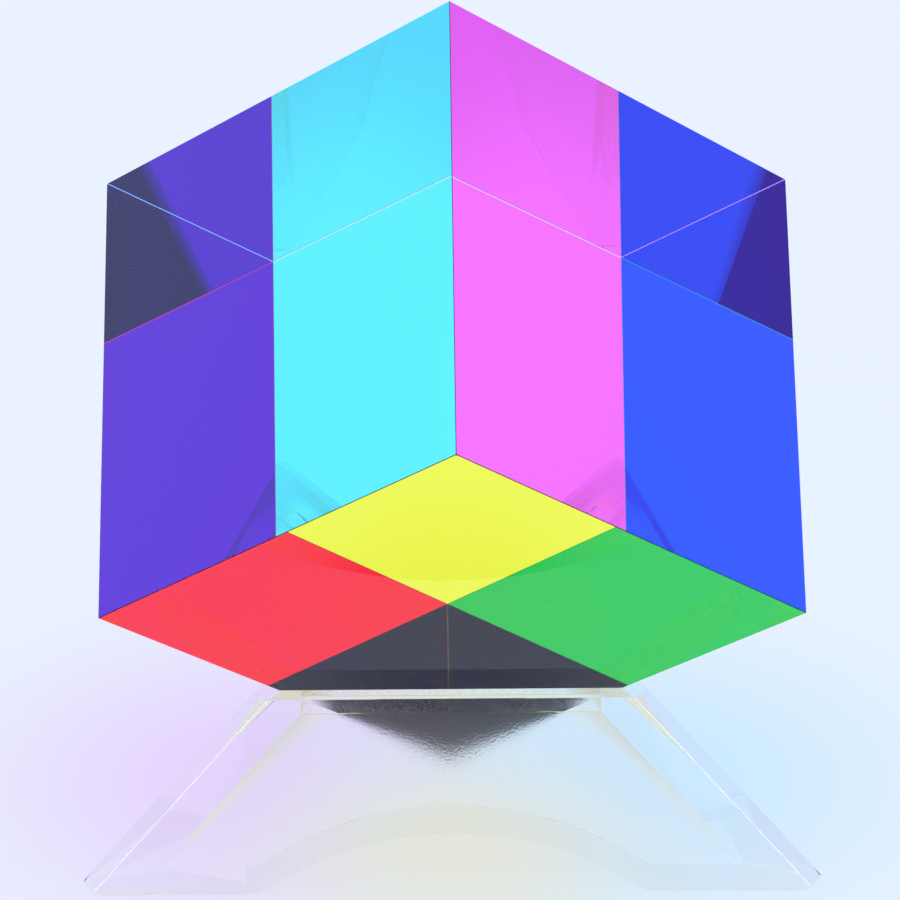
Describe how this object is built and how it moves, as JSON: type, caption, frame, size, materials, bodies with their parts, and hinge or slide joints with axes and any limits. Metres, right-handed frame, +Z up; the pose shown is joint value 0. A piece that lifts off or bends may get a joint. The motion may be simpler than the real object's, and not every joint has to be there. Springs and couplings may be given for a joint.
{
  "type": "colour-mixing display cube on stand",
  "caption": "Clear acrylic cube with cyan, magenta and yellow films on the faces around its lowest corner, balanced on that corner in a clear stand with an arch in each wall",
  "frame": {"origin": "On the table, on the upright axis through the cube's lowest and highest corners", "axes": "+Z up along the cube's body diagonal; -Y faces the yellow film and one wall of the stand; +X to the right, towards the cyan film"},
  "size_m": [0.0758, 0.0837, 0.089],
  "materials": {
    "clear_block": "polished clear cast acrylic",
    "cyan_film": "transparent cyan film, glossy",
    "magenta_film": "transparent magenta film, glossy",
    "yellow_film": "transparent yellow film, glossy",
    "clear_stand": "moulded clear acrylic, glossy outside and satin inside"
  },
  "bodies": {
    "stand": {"stand": "clear_stand"},
    "cube": {"acrylic_block": "clear_block", "cyan_film": "cyan_film", "magenta_film": "magenta_film", "yellow_film": "yellow_film"}
  },
  "joints": [
    {"name": "cube_lift", "type": "slide", "parent": "stand", "child": "cube", "axis": [0, 0, 1], "range_m": [0, 0.06]}
  ]
}
